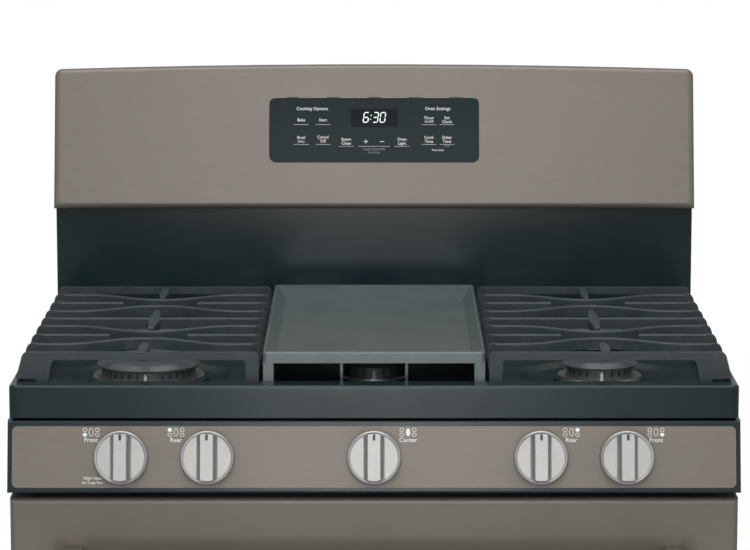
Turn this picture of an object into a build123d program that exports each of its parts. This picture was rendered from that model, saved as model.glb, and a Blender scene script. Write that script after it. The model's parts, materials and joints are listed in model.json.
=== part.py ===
from build123d import *
import os
from math import cos, pi, radians, sin, tan

# Freestanding 30-inch gas range with five burners, a griddle, an oven and a drawer.
# Millimetres. X is right, the front faces -Y, Z is up and the floor is at Z 0.

os.makedirs("parts", exist_ok=True)

# ---- driving dimensions ----
PANEL_HALF = 379.5  # half the overall width, at the knob panel
BODY_HALF = 378.0  # side panels, cooktop skirt and riser
INNER_HALF = 376.0  # what stands between the side panels
BACK_Y = 365.0  # rear of the backguard
HANDLE_Y = -365.0  # front of the door handle
TOP_Z = 1200.0  # crown of the backguard
SHEET = 1.2  # general sheet thickness
SIDES = ((-1, "left"), (1, "right"))

# oven and front frame
FRAME_Y = -277.0  # front face of the oven's front frame
OVEN_HALF = 303.0
OVEN_Z = (240.0, 745.0)
OVEN_Y = (-274.0, 208.0)
INSULATION = 35.0
FLOOR_PLATE_Z = 298.2
RACK_LEDGES = (340.0, 410.0, 480.0, 550.0, 620.0)
RACK_LEVELS = {"rack_lower": 410.0, "rack_upper": 550.0}

# door and drawer
DOOR_FRONT_Y = -315.0
DOOR_BACK_Y = -282.0
DOOR_Z = (236.0, 803.0)
DOOR_HALF = 377.5
WINDOW_HALF = 250.0
WINDOW_Z = (400.0, 640.0)
HINGE_Y = -312.0
HINGE_Z = 230.0
HINGE_X = 346.5
HANDLE_Z = 745.0
HANDLE_HALF = 330.0
DRAWER_Z = (62.0, 214.0)
RUNNER_Z = 101.0  # top of the drawer's rails

# cooktop
TOP_FRONT_Y = -305.0
TOP_BACK_Y = 240.5
RIM_Z = 920.0
SKIRT_Z = 886.0
PAN_Z = 904.0
TOP_SHEET = 1.5
RECESS_HALF = 366.0
RECESS_Y = (-279.5, 228.0)
WELL_DEPTH = 4.0

# burners: name, x, y, cap radius, straight length of an oval, throat y, knob x
BURNERS = (
    ("left_front", -242.0, -168.0, 55.5, 0.0, -168.0, -261.0),
    ("left_rear", -242.0, 40.0, 38.5, 0.0, 40.0, -172.0),
    ("centre", 0.0, -64.0, 31.0, 200.0, -150.0, 0.0),
    ("right_rear", 242.0, 40.0, 38.5, 0.0, 40.0, 172.0),
    ("right_front", 242.0, -168.0, 40.5, 0.0, -168.0, 261.0),
)
THROAT_R = 21.5
RING_TOP = 906.5
CROWN_TOP = 917.0
CAP_TOP = 924.0

# grates and griddle
GRATE_TOP = 950.0
BAR = 6.5  # width of a grate bar
BAR_TALL = 12.0
GRATE_MID_Y = -64.0
GRATE_OUT_X = 366.0  # outer ends of the bars, at their top
GRATE_IN_X = 120.0
BURNER_X = 242.0
GRIDDLE_HALF = 116.0
GRIDDLE_Y = (-280.0, 158.0)
GRIDDLE_RIM = 951.0
GRIDDLE_FLOOR = 944.0

# knob panel
PANEL_LEAN = 13.3  # degrees off vertical
PANEL_TOP = (-304.3, 883.0)
PANEL_LOW_Z = 810.0
PANEL_BACK_Y = -277.5
KNOB_Z = 845.5
KNOB_R = 28.0
KNOB_GAP = 4.0  # knob skirt above the panel, room for the push
STEM_R = 4.0
RUNNING = 0.05  # radial running clearance
MANIFOLD_R = 8.0

# backguard
RISER_Y = 241.0
FASCIA_HALF = 378.5
FASCIA_LOW_Z = 1032.0
FASCIA_EDGE_Z = 1194.0  # top at the ends, lower than the crown
FASCIA_BACK_Y = 352.5
FASCIA_FOOT_Y = 214.0
FASCIA_LEAN = 14.04
FASCIA_TOP_Y = FASCIA_FOOT_Y + (TOP_Z - FASCIA_LOW_Z) * tan(radians(FASCIA_LEAN))
TOP_FALL = 8.0  # degrees that the backguard's top falls to the rear
GLASS_SIZE = (247.5, 77.0)
GLASS_Z = 1123.6


# ---- small helpers ----
def save(builder, name):
    """Label a finished piece and write it to its STEP file."""
    builder.part.label = name
    export_step(builder.part, f"parts/{name}.step")


def block(x, y, z, mode=Mode.ADD):
    """A box over the ranges x, y and z."""
    with Locations((sum(x) / 2, sum(y) / 2, sum(z) / 2)):
        Box(abs(x[1] - x[0]), abs(y[1] - y[0]), abs(z[1] - z[0]), mode=mode)


def rod(start, end, radius, mode=Mode.ADD):
    """A round bar from one point to another."""
    run = Vector(*end) - Vector(*start)
    with Locations(Plane(origin=start, z_dir=run).location):
        Cylinder(radius, run.length, align=(Align.CENTER, Align.CENTER, Align.MIN), mode=mode)


def tube(points, radius, bend):
    """A bent pipe along points, with round bends."""
    with BuildPart() as pipe:
        with BuildLine() as route:
            FilletPolyline(*points, radius=bend)
        with BuildSketch(Plane(origin=route.line @ 0, z_dir=route.line % 0)):
            Circle(radius)
        sweep(path=route.line)
    return pipe.part


def on_panel(x, z=KNOB_Z):
    """The plane of the leaning knob panel at height z, its normal pointing at the cook."""
    lean = radians(PANEL_LEAN)
    y = PANEL_TOP[0] - (PANEL_TOP[1] - z) * tan(lean)
    return Plane(origin=(x, y, z), x_dir=(1, 0, 0), z_dir=(0, -cos(lean), sin(lean)))


def on_fascia(z):
    """The plane of the leaning backguard face at height z."""
    lean = radians(FASCIA_LEAN)
    y = FASCIA_FOOT_Y + (z - FASCIA_LOW_Z) * tan(lean)
    return Plane(origin=(0, y, z), x_dir=(1, 0, 0), z_dir=(0, -cos(lean), sin(lean)))


def footprint(burner, radius):
    """The round or oval outline of a burner, in the sketch being drawn."""
    name, x, y, cap_r, length, throat_y, knob_x = burner
    with Locations((x, y)):
        if length:
            SlotCenterToCenter(length, 2 * radius, rotation=90)
        else:
            Circle(radius)


# ---- body: sides, back, base, feet ----
SIDE_Z = (26.0, 885.0)
FLANGE_X = (357.0, 377.0)
SIDE_BACK_Y = 352.0
SCREW_X = 367.0
SCREW_HEIGHTS = (380.0, 540.0, 700.0, 860.0)
SCREW_R = 2.0


def screw_holes():
    """Clearance holes for the back panel's screws."""
    for side, name in SIDES:
        for z in SCREW_HEIGHTS:
            rod((side * SCREW_X, 340, z), (side * SCREW_X, 356, z), SCREW_R + 0.1, Mode.SUBTRACT)


for side, name in SIDES:
    with BuildPart() as side_panel:
        block((side * FLANGE_X[1], side * BODY_HALF), (FRAME_Y, SIDE_BACK_Y), SIDE_Z)
        block((side * FLANGE_X[0], side * FLANGE_X[1]), (FRAME_Y, FRAME_Y + 1), SIDE_Z)
        block((side * FLANGE_X[0], side * FLANGE_X[1]), (SIDE_BACK_Y - 1, SIDE_BACK_Y), SIDE_Z)
        # notch that the drawer's runner passes through
        block((side * 356, side * 367), (FRAME_Y - 1, FRAME_Y + 2), (RUNNER_Z - 1, RUNNER_Z + 3), Mode.SUBTRACT)
        screw_holes()
    save(side_panel, f"side_panel_{name}")

BACK_STEP_Z = 330.0
BACK_LOW_Y = 298.0  # the lower half is set in, to leave room for the gas connection
PIPE_X = -300.0
PIPE_Y = 325.0
PIPE_R = 6.5
INLET_BUSH = (250.0, 200.0)  # x and z of the supply lead's bush

with BuildPart() as back_panel:
    with BuildSketch(Plane.YZ.offset(-INNER_HALF)):
        with BuildLine():
            Polyline(
                (SIDE_BACK_Y + 1, 884), (SIDE_BACK_Y + 1, BACK_STEP_Z), (BACK_LOW_Y + 1, BACK_STEP_Z),
                (BACK_LOW_Y + 1, 60), (BACK_LOW_Y, 60), (BACK_LOW_Y, BACK_STEP_Z + 1),
                (SIDE_BACK_Y, BACK_STEP_Z + 1), (SIDE_BACK_Y, 884), close=True,
            )
        make_face()
    extrude(amount=2 * INNER_HALF)
    for side, name in SIDES:
        block((side * (FLANGE_X[0] - 1), side * 380), (SIDE_BACK_Y - 2, SIDE_BACK_Y), (320, 340), Mode.SUBTRACT)
    screw_holes()
    rod((PIPE_X, PIPE_Y, 320), (PIPE_X, PIPE_Y, 340), PIPE_R + 2, Mode.SUBTRACT)
    rod((INLET_BUSH[0], 290, INLET_BUSH[1]), (INLET_BUSH[0], 305, INLET_BUSH[1]), 10.2, Mode.SUBTRACT)
    with Locations((0, SIDE_BACK_Y, 0)):
        for z in (800, 830):
            with Locations((0, 0, z)):
                with GridLocations(60, 1, 8, 1):
                    Box(40, 10, 5, mode=Mode.SUBTRACT)
save(back_panel, "back_panel")

with BuildPart() as body_screws:
    for side, name in SIDES:
        for z in SCREW_HEIGHTS:
            rod((side * SCREW_X, SIDE_BACK_Y + 1, z), (side * SCREW_X, SIDE_BACK_Y + 3.6, z), 4.2)
            rod((side * SCREW_X, SIDE_BACK_Y - 9, z), (side * SCREW_X, SIDE_BACK_Y + 1, z), SCREW_R)
save(body_screws, "body_screws")

BASE_Z = (28.0, 58.0)
BASE_Y = (-272.0, 345.0)
RAIL_WIDE = 30.0
LEG_PLACES = [(x, y) for x in (-361.0, 361.0) for y in (-257.0, 330.0)]

with BuildPart() as base_frame:
    block((-INNER_HALF, INNER_HALF), BASE_Y, BASE_Z)
    block((-INNER_HALF + 2, INNER_HALF - 2), (BASE_Y[0] + 2, BASE_Y[1] - 2), (28, 56), Mode.SUBTRACT)
    inner_x = INNER_HALF - RAIL_WIDE
    inner_y = (BASE_Y[0] + RAIL_WIDE, BASE_Y[1] - RAIL_WIDE)
    block((-inner_x - 2, inner_x + 2), (inner_y[0] - 2, inner_y[1] + 2), BASE_Z)
    block((-inner_x, inner_x), inner_y, BASE_Z, Mode.SUBTRACT)
    for side, name in SIDES:
        block((side * 374, side * INNER_HALF), (-260, 295), (58, RUNNER_Z - 2))
        block((side * 338, side * INNER_HALF), (-260, 295), (RUNNER_Z - 2, RUNNER_Z))
    for x, y in LEG_PLACES:
        rod((x, y, 50), (x, y, 60), 5.2, Mode.SUBTRACT)
    # notch in the rear rail for the gas connector
    block((PIPE_X - 24, PIPE_X + 24), (312, 338), (27, 59), Mode.SUBTRACT)
save(base_frame, "base_frame")

with BuildPart() as levelling_legs:
    for x, y in LEG_PLACES:
        with Locations((x, y, 0)):
            Cone(18, 15, 9, align=(Align.CENTER, Align.CENTER, Align.MIN))
            Cylinder(5, 80, align=(Align.CENTER, Align.CENTER, Align.MIN))
        with BuildSketch(Plane.XY.offset(50)):
            with Locations((x, y)):
                RegularPolygon(9.5, 6)
        extrude(amount=6)
save(levelling_legs, "levelling_legs")

# ---- oven ----
HINGE_SLOT = (236.0, 306.0)

with BuildPart() as front_frame:
    block((-356, 356), (FRAME_Y, FRAME_Y + 1.5), (216, 806))
    block((-OVEN_HALF, OVEN_HALF), (-280, -270), OVEN_Z, Mode.SUBTRACT)
    for side, name in SIDES:
        block((side * 354.5, side * 356), (FRAME_Y + 1.5, -262), (216, 806))
        block((side * 343.5, side * 349.5), (-280, -270), HINGE_SLOT, Mode.SUBTRACT)
save(front_frame, "front_frame")

FLUE_X = 60.0
FLUE_Y = (150.0, 180.0)

with BuildPart() as oven_liner:
    block(
        (-OVEN_HALF - SHEET, OVEN_HALF + SHEET), (OVEN_Y[0], OVEN_Y[1] + SHEET),
        (OVEN_Z[0] - SHEET, OVEN_Z[1] + SHEET),
    )
    block((-318, 318), (-275.3, OVEN_Y[0]), (226, 760))
    block((-OVEN_HALF, OVEN_HALF), (-276, OVEN_Y[1]), OVEN_Z, Mode.SUBTRACT)
    for side, name in SIDES:
        block((side * 289, side * OVEN_HALF), (-258, 203), (FLOOR_PLATE_Z - 3, FLOOR_PLATE_Z))
        for z in RACK_LEDGES:
            block((side * 290, side * OVEN_HALF), (-240, 200), (z - 3, z))
    block((-FLUE_X, FLUE_X), FLUE_Y, (740, 750), Mode.SUBTRACT)
save(oven_liner, "oven_liner")

with BuildPart() as oven_insulation:
    block((-340, 340), (-272, OVEN_Y[1] + INSULATION), (222, OVEN_Z[1] + INSULATION))
    block((-304.6, 304.6), (-273, OVEN_Y[1] + 1.6), (238.4, OVEN_Z[1] + 1.6), Mode.SUBTRACT)
    block((-FLUE_X - 1.6, FLUE_X + 1.6), (148.4, 181.6), (746, 790), Mode.SUBTRACT)
save(oven_insulation, "oven_insulation")

with BuildPart() as oven_floor_plate:
    block((-300, 300), (-262, 203), (FLOOR_PLATE_Z, FLOOR_PLATE_Z + 1.5))
    block((-300, 300), (-262, -260.5), (285, FLOOR_PLATE_Z))
    for x in (-270, 270):
        with Locations((x, -30, FLOOR_PLATE_Z)):
            with GridLocations(1, 44, 1, 10):
                Box(6, 30, 10, mode=Mode.SUBTRACT)
save(oven_floor_plate, "oven_floor_plate")

with BuildPart() as bake_burner:
    rod((0, -180, 264), (0, OVEN_Y[1], 264), 14)
    block((-70, 70), (-170, 150), (286, 287.5))
    for y in (-140, 0, 130):
        block((-3, 3), (y - 8, y + 8), (276, 286))
    with Locations((0, -16, 264)):
        with GridLocations(1, 12, 1, 26):
            Box(34, 3, 2, mode=Mode.SUBTRACT)
save(bake_burner, "bake_burner")

with BuildPart() as broil_burner:
    rod((0, -190, 722), (0, OVEN_Y[1], 722), 11)
    block((-110, 110), (-185, 140), (738, 739.5))
    for y in (-150, 0, 120):
        block((-3, 3), (y - 8, y + 8), (731, 738))
    with Locations((0, -16, 722)):
        with GridLocations(1, 12, 1, 26):
            Box(28, 3, 2, mode=Mode.SUBTRACT)
save(broil_burner, "broil_burner")

with BuildPart() as oven_igniters:
    for z in (264, 722):
        block((20, 44), (150, OVEN_Y[1]), (z - 9, z + 9))
        block((26, 38), (80, 150), (z - 4, z + 4))
save(oven_igniters, "oven_igniters")

with BuildPart() as temperature_sensor:
    rod((-220, 90, 700), (-220, 206.5, 700), 3)
    block((-236, -204), (206.5, OVEN_Y[1]), (690, 710))
save(temperature_sensor, "temperature_sensor")

with BuildPart() as oven_lamp:
    rod((230, 186, 695), (230, OVEN_Y[1], 695), 26)
    fillet(oven_lamp.edges().sort_by(Axis.Y)[0], 12)
save(oven_lamp, "oven_lamp")

DUCT_BACK_Y = (250.0, 276.0)
with BuildPart() as oven_flue:
    grow = SHEET
    block((-FLUE_X - grow, FLUE_X + grow), (FLUE_Y[0] - grow, FLUE_Y[1] + grow), (746.6, 830 + grow))
    block((-FLUE_X - grow, FLUE_X + grow), (FLUE_Y[0] - grow, DUCT_BACK_Y[1] + grow), (800 - grow, 830 + grow))
    block((-FLUE_X - grow, FLUE_X + grow), (DUCT_BACK_Y[0] - grow, DUCT_BACK_Y[1] + grow), (830, 1040))
    block((-160, 160), (221.5, DUCT_BACK_Y[1] + 4), (1034, 1050))
    block((-160 + grow, 160 - grow), (221.5 + grow, DUCT_BACK_Y[1] + 4 - grow), (1033, 1050 - grow), Mode.SUBTRACT)
    block((-FLUE_X, FLUE_X), FLUE_Y, (746, 830), Mode.SUBTRACT)
    block((-FLUE_X, FLUE_X), (FLUE_Y[0], DUCT_BACK_Y[1]), (800, 830), Mode.SUBTRACT)
    block((-FLUE_X, FLUE_X), DUCT_BACK_Y, (800, 1050), Mode.SUBTRACT)
save(oven_flue, "oven_flue")


def rack(level, name):
    """A wire rack: a stout frame, thin bars along the depth and two cross ties."""
    z = level + 3.3
    with BuildPart() as wire_rack:
        corners = [(-296, -207), (296, -207), (296, 195), (-296, 195)]
        for start, end in zip(corners, corners[1:] + corners[:1]):
            rod((*start, z), (*end, z), 3)
        with Locations(*[(x, y, z) for x, y in corners]):
            Sphere(3)
        for x in range(-279, 280, 31):
            rod((x, -207, z + 1), (x, 195, z + 1), 2)
        for y in (-80, 70):
            rod((-296, y, z - 1), (296, y, z - 1), 2)
    save(wire_rack, name)


for rack_name, rack_level in RACK_LEVELS.items():
    rack(rack_level, rack_name)

# ---- door ----
with BuildPart() as door_outer_panel:
    block((-DOOR_HALF, DOOR_HALF), (DOOR_FRONT_Y, -285), DOOR_Z)
    fillet(door_outer_panel.faces().sort_by(Axis.Y)[0].edges(), 5)
    block(
        (-DOOR_HALF + 1.5, DOOR_HALF - 1.5), (DOOR_FRONT_Y + 1.5, -280),
        (DOOR_Z[0] + 1.5, DOOR_Z[1] - 1.5), Mode.SUBTRACT,
    )
    with BuildSketch(Plane.XZ.offset(-DOOR_FRONT_Y)):
        with Locations((0, sum(WINDOW_Z) / 2)):
            RectangleRounded(2 * WINDOW_HALF, WINDOW_Z[1] - WINDOW_Z[0], 16)
    extrude(amount=5, both=True, mode=Mode.SUBTRACT)
save(door_outer_panel, "door_outer_panel")

with BuildPart() as door_window_outer:
    block((-WINDOW_HALF - 14, WINDOW_HALF + 14), (-313.3, -309.3), (WINDOW_Z[0] - 14, WINDOW_Z[1] + 14))
save(door_window_outer, "door_window_outer")

INNER_WINDOW = 222.0
with BuildPart() as door_window_inner:
    block((-INNER_WINDOW - 12, INNER_WINDOW + 12), (-288, -284.2), (408, 632))
save(door_window_inner, "door_window_inner")

with BuildPart() as door_liner:
    block((-DOOR_HALF + 2, DOOR_HALF - 2), (-283.8, DOOR_BACK_Y), (DOOR_Z[0] + 2, DOOR_Z[1] - 2))
    block((-DOOR_HALF + 2, DOOR_HALF - 2), (-296, -283.8), (DOOR_Z[0] + 2, DOOR_Z[1] - 2))
    block((-DOOR_HALF + 3.2, DOOR_HALF - 3.2), (-297, -283.8), (DOOR_Z[0] + 3.2, DOOR_Z[1] - 3.2), Mode.SUBTRACT)
    block((-INNER_WINDOW, INNER_WINDOW), (-290, -280), (418, 622), Mode.SUBTRACT)
save(door_liner, "door_liner")

with BuildPart() as door_gasket:
    block((-320, 320), (DOOR_BACK_Y, FRAME_Y - 0.3), (228, 757))
    fillet(door_gasket.edges().filter_by(Axis.Y), 14)
    with BuildSketch(Plane.XZ.offset(-FRAME_Y + 0.3)):
        with Locations((0, (228 + 757) / 2)):
            RectangleRounded(640 - 16, 757 - 228 - 16, 8)
    extrude(amount=10, both=True, mode=Mode.SUBTRACT)
save(door_gasket, "door_gasket")

HANDLE_DEEP = 18.0
with BuildPart() as door_handle:
    with BuildSketch(Plane.YZ.offset(-HANDLE_HALF)):
        with Locations((HANDLE_Y + HANDLE_DEEP / 2, HANDLE_Z)):
            RectangleRounded(HANDLE_DEEP, 24, 7)
    extrude(amount=2 * HANDLE_HALF)
    fillet(door_handle.faces().sort_by(Axis.X)[0].edges(), 3)
    fillet(door_handle.faces().sort_by(Axis.X)[-1].edges(), 3)
save(door_handle, "door_handle")

with BuildPart() as door_handle_posts:
    for side, name in SIDES:
        block((side * 300, side * 322), (HANDLE_Y + HANDLE_DEEP, DOOR_FRONT_Y), (HANDLE_Z - 9, HANDLE_Z + 9))
    fillet(door_handle_posts.edges().filter_by(Axis.Y), 5)
save(door_handle_posts, "door_handle_posts")

ARM_R = 54.0
ARM_HALF = 6.0
ARM_THICK = 3.0
ARM_ANGLES = (39.0, 130.0)  # from straight up, turning towards the oven


def polar(radius, degrees):
    """A point about the hinge axis, in the plane across it."""
    return (HINGE_Y + radius * sin(radians(degrees)), HINGE_Z + radius * cos(radians(degrees)))


with BuildPart() as door_hinge_arms:
    mean = sum(ARM_ANGLES) / 2
    for side, name in SIDES:
        with BuildSketch(Plane.YZ.offset(side * HINGE_X - ARM_THICK / 2)):
            with BuildLine():
                outer = [polar(ARM_R + ARM_HALF, a) for a in (ARM_ANGLES[0], mean, ARM_ANGLES[1])]
                inner = [polar(ARM_R - ARM_HALF, a) for a in (ARM_ANGLES[0], mean, ARM_ANGLES[1])]
                ThreePointArc(*outer)
                ThreePointArc(*inner)
                Line(outer[0], inner[0])
                Line(outer[2], inner[2])
            make_face()
        extrude(amount=ARM_THICK)
        block((side * 338, side * 355), (DOOR_BACK_Y, DOOR_BACK_Y + 1.5), (262, 300))
save(door_hinge_arms, "door_hinge_arms")

with BuildPart() as hinge_receivers:
    for side, name in SIDES:
        for x in (341.5, 349.5):
            block((side * x, side * (x + 2)), (-275.2, -236), (180, 320))
        block((side * 341.5, side * 351.5), (-236, -234), (180, 320))
save(hinge_receivers, "hinge_receivers")

# ---- drawer ----
with BuildPart() as drawer_front:
    block((-DOOR_HALF, DOOR_HALF), (DOOR_FRONT_Y, -285), DRAWER_Z)
    fillet(drawer_front.faces().sort_by(Axis.Y)[0].edges(), 5)
    block(
        (-DOOR_HALF + 1.5, DOOR_HALF - 1.5), (DOOR_FRONT_Y + 1.5, -280),
        (DRAWER_Z[0] + 1.5, DRAWER_Z[1] - 1.5), Mode.SUBTRACT,
    )
save(drawer_front, "drawer_front")

with BuildPart() as drawer_box:
    block((-334, 334), (-284.8, 250), (68, 200))
    block((-333, 333), (-283.8, 249), (69, 201), Mode.SUBTRACT)
    for side, name in SIDES:
        block((side * 334, side * 366), (-250, 250), (RUNNER_Z + 0.3, RUNNER_Z + 1.8))
save(drawer_box, "drawer_box")


# ---- cooktop ----
def octagon(x, y, half_x, half_y):
    """An eight-sided outline with square-cut corners, in the sketch being drawn."""
    cut = min(half_x, half_y) * 0.5
    corners = []
    for sx, sy in ((1, 1), (-1, 1), (-1, -1), (1, -1)):
        pair = [(x + sx * half_x, y + sy * (half_y - cut)), (x + sx * (half_x - cut), y + sy * half_y)]
        corners += pair if sx * sy > 0 else pair[::-1]
    Polygon(*corners, align=None)


def well(burner, low, grow):
    """The sloped eight-sided sink in the pan around one burner."""
    name, x, y, cap_r, length, throat_y, knob_x = burner
    half_x = 56 if length else 86
    half_y = 158 if length else 86
    with BuildPart() as sink:
        with BuildSketch(Plane.XY.offset(PAN_Z)):
            octagon(x, y, half_x + grow, half_y + grow)
        with BuildSketch(Plane.XY.offset(low)):
            octagon(x, y, half_x - 13 + grow, half_y - 13 + grow)
        loft()
    return sink.part


with BuildPart() as main_top:
    mid_y = (TOP_FRONT_Y + TOP_BACK_Y) / 2
    depth = TOP_BACK_Y - TOP_FRONT_Y
    with BuildSketch(Plane.XY.offset(SKIRT_Z)):
        with Locations((0, mid_y)):
            RectangleRounded(2 * BODY_HALF, depth, 7.5)
    extrude(amount=RIM_Z - SKIRT_Z)
    fillet(main_top.edges().group_by(Axis.Z)[-1], 3)
    with BuildSketch(Plane.XY.offset(SKIRT_Z)):
        with Locations((0, mid_y)):
            RectangleRounded(2 * (BODY_HALF - TOP_SHEET), depth - 2 * TOP_SHEET, 6)
    extrude(amount=RIM_Z - SKIRT_Z - TOP_SHEET, mode=Mode.SUBTRACT)
    recess_y = sum(RECESS_Y) / 2
    recess_deep = RECESS_Y[1] - RECESS_Y[0]
    with BuildSketch(Plane.XY.offset(PAN_Z - TOP_SHEET)):
        with Locations((0, recess_y)):
            RectangleRounded(2 * (RECESS_HALF + TOP_SHEET), recess_deep + 2 * TOP_SHEET, 13.5)
    extrude(amount=RIM_Z - PAN_Z)
    with BuildSketch(Plane.XY.offset(PAN_Z)):
        with Locations((0, recess_y)):
            RectangleRounded(2 * RECESS_HALF, recess_deep, 12)
    extrude(amount=RIM_Z - PAN_Z + 1, mode=Mode.SUBTRACT)
    for burner in BURNERS:
        add(well(burner, PAN_Z - WELL_DEPTH - TOP_SHEET, TOP_SHEET))
        add(well(burner, PAN_Z - WELL_DEPTH, 0), mode=Mode.SUBTRACT)
        with BuildSketch(Plane.XY.offset(PAN_Z - WELL_DEPTH - TOP_SHEET)):
            footprint(burner, burner[3] + 9)
        extrude(amount=WELL_DEPTH + TOP_SHEET)
        with BuildSketch(Plane.XY.offset(PAN_Z - 10)):
            footprint(burner, burner[3] + 7.5)
        extrude(amount=10 - TOP_SHEET, mode=Mode.SUBTRACT)
        throat = (burner[1], burner[5])
        rod((*throat, 880), (*throat, 910), THROAT_R + 0.5, Mode.SUBTRACT)
save(main_top, "main_top")

with BuildPart() as burner_trim_rings:
    for burner in BURNERS:
        with BuildSketch(Plane.XY.offset(PAN_Z)):
            footprint(burner, burner[3] + 5)
        extrude(amount=RING_TOP - PAN_Z, taper=20)
        throat = (burner[1], burner[5])
        rod((*throat, 900), (*throat, 910), THROAT_R + 0.5, Mode.SUBTRACT)
save(burner_trim_rings, "burner_trim_rings")

with BuildPart() as burner_heads:
    for burner in BURNERS:
        name, x, y, cap_r, length, throat_y, knob_x = burner
        crown_r = cap_r - 5
        with BuildSketch(Plane.XY.offset(RING_TOP)):
            footprint(burner, crown_r)
        extrude(amount=CROWN_TOP - RING_TOP)
        rod((x, throat_y, 880), (x, throat_y, RING_TOP), THROAT_R)
        ports = round(2 * pi * crown_r / 8.8)
        if length:
            for end in (-1, 1):
                with Locations((x, y + end * length / 2, 912)):
                    with PolarLocations(crown_r, 9, start_angle=end * 90 - 90, angular_range=180, endpoint=True):
                        Box(6, 1.7, 6, mode=Mode.SUBTRACT)
            with Locations((x, y, 912)):
                with GridLocations(2 * crown_r, 10, 2, 19):
                    Box(6, 1.7, 6, mode=Mode.SUBTRACT)
        else:
            with Locations((x, y, 912)):
                with PolarLocations(crown_r, ports):
                    Box(6, 1.7, 6, mode=Mode.SUBTRACT)
save(burner_heads, "burner_heads")

with BuildPart() as burner_caps:
    for burner in BURNERS:
        with BuildSketch(Plane.XY.offset(CROWN_TOP + 2.2)):
            footprint(burner, burner[3])
        extrude(amount=CAP_TOP - CROWN_TOP - 2.2, taper=48)
        with BuildSketch(Plane.XY.offset(CROWN_TOP + 2.2)):
            footprint(burner, burner[3])
        extrude(amount=-2.2, taper=35)
save(burner_caps, "burner_caps")

with BuildPart() as spark_electrodes:
    for burner in BURNERS:
        name, x, y, cap_r, length, throat_y, knob_x = burner
        tip_y = y - length / 2 - cap_r + 1.7
        rod((x, tip_y, RING_TOP), (x, tip_y, RING_TOP + 7), 1.7)
        rod((x, tip_y, RING_TOP + 7), (x, tip_y, RING_TOP + 9), 0.7)
save(spark_electrodes, "spark_electrodes")

# ---- gas: manifold, valves, supply tubes, regulator ----
VALVE_BACK = 54.0  # depth of a valve body behind the panel
pipe_centre = on_panel(0).from_local_coords((0, 22, -40))

with BuildPart() as gas_valves:
    for burner in BURNERS:
        with Locations(on_panel(burner[6]).location):
            block((-11, 11), (-11, 11), (-VALVE_BACK, -24))
            block((-8, 8), (11, 20), (-48, -32))
            with Locations((0, 0, -20)):
                Cylinder(8, 8)
            with Locations((0, 0, -34)):
                Cylinder(STEM_R + RUNNING, 36, mode=Mode.SUBTRACT)
    rod((-320, pipe_centre.Y, pipe_centre.Z), (320, pipe_centre.Y, pipe_centre.Z), MANIFOLD_R, Mode.SUBTRACT)
save(gas_valves, "gas_valves")

REGULATOR_Z = 120.0
with BuildPart() as gas_manifold:
    rod((-316, pipe_centre.Y, pipe_centre.Z), (300, pipe_centre.Y, pipe_centre.Z), MANIFOLD_R)
    route_points = [
        (PIPE_X, PIPE_Y, REGULATOR_Z + 46), (PIPE_X, PIPE_Y, 810), (PIPE_X, -225, 810),
        (PIPE_X, pipe_centre.Y + 3, pipe_centre.Z - 3),
    ]
    add(tube(route_points, PIPE_R, 24))
save(gas_manifold, "gas_manifold")

INLET_R = 9.5
INLET_LONG = 18.0
with BuildPart() as pressure_regulator:
    rod((PIPE_X, PIPE_Y, REGULATOR_Z - 20), (PIPE_X, PIPE_Y, REGULATOR_Z + 46), 14)
    rod((PIPE_X, 301, REGULATOR_Z + 14), (PIPE_X, 350, REGULATOR_Z + 14), 26)
    rod((PIPE_X, PIPE_Y, REGULATOR_Z - 21), (PIPE_X, PIPE_Y, REGULATOR_Z - 20 + INLET_LONG), INLET_R, Mode.SUBTRACT)
    chamfer(pressure_regulator.edges().filter_by(GeomType.CIRCLE).sort_by(Axis.Y)[-1], 4)
save(pressure_regulator, "pressure_regulator")

HOLDER_Z = (866.0, 880.0)
HOLDER_R = 17.0
tube_z = (HOLDER_Z[0] + HOLDER_Z[1]) / 2
start = on_panel(0).from_local_coords((0, 0, -VALVE_BACK))

with BuildPart() as burner_supply_tubes:
    for burner in BURNERS:
        name, x, y, cap_r, length, throat_y, knob_x = burner
        rod((x, throat_y, HOLDER_Z[0]), (x, throat_y, HOLDER_Z[1]), HOLDER_R)
        end_y = throat_y - HOLDER_R + 3
        points = [(knob_x, start.Y + 1.6, start.Z)]
        if y > 0:
            points += [(knob_x, -90, start.Z), (x, -30, start.Z + 6)]
        else:
            points += [(knob_x, start.Y + 25, start.Z)]
        points += [(x, end_y - 22, tube_z), (x, end_y, tube_z)]
        add(tube(points, 3.2, 7))
save(burner_supply_tubes, "burner_supply_tubes")

with BuildPart() as power_inlet_bush:
    x, z = INLET_BUSH
    rod((x, BACK_LOW_Y - 4, z), (x, BACK_LOW_Y + 1, z), 10)
    rod((x, BACK_LOW_Y + 1, z), (x, BACK_LOW_Y + 7, z), 14)
    rod((x, BACK_LOW_Y - 10, z), (x, BACK_LOW_Y + 20, z), 4.5, Mode.SUBTRACT)
save(power_inlet_bush, "power_inlet_bush")

with BuildPart() as spark_module:
    block((170, 240), (170, 225), (780.3, 806))
    with Locations((205, 170, 793)):
        with GridLocations(12, 1, 5, 1):
            Box(6, 8, 8)
save(spark_module, "spark_module")


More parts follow.
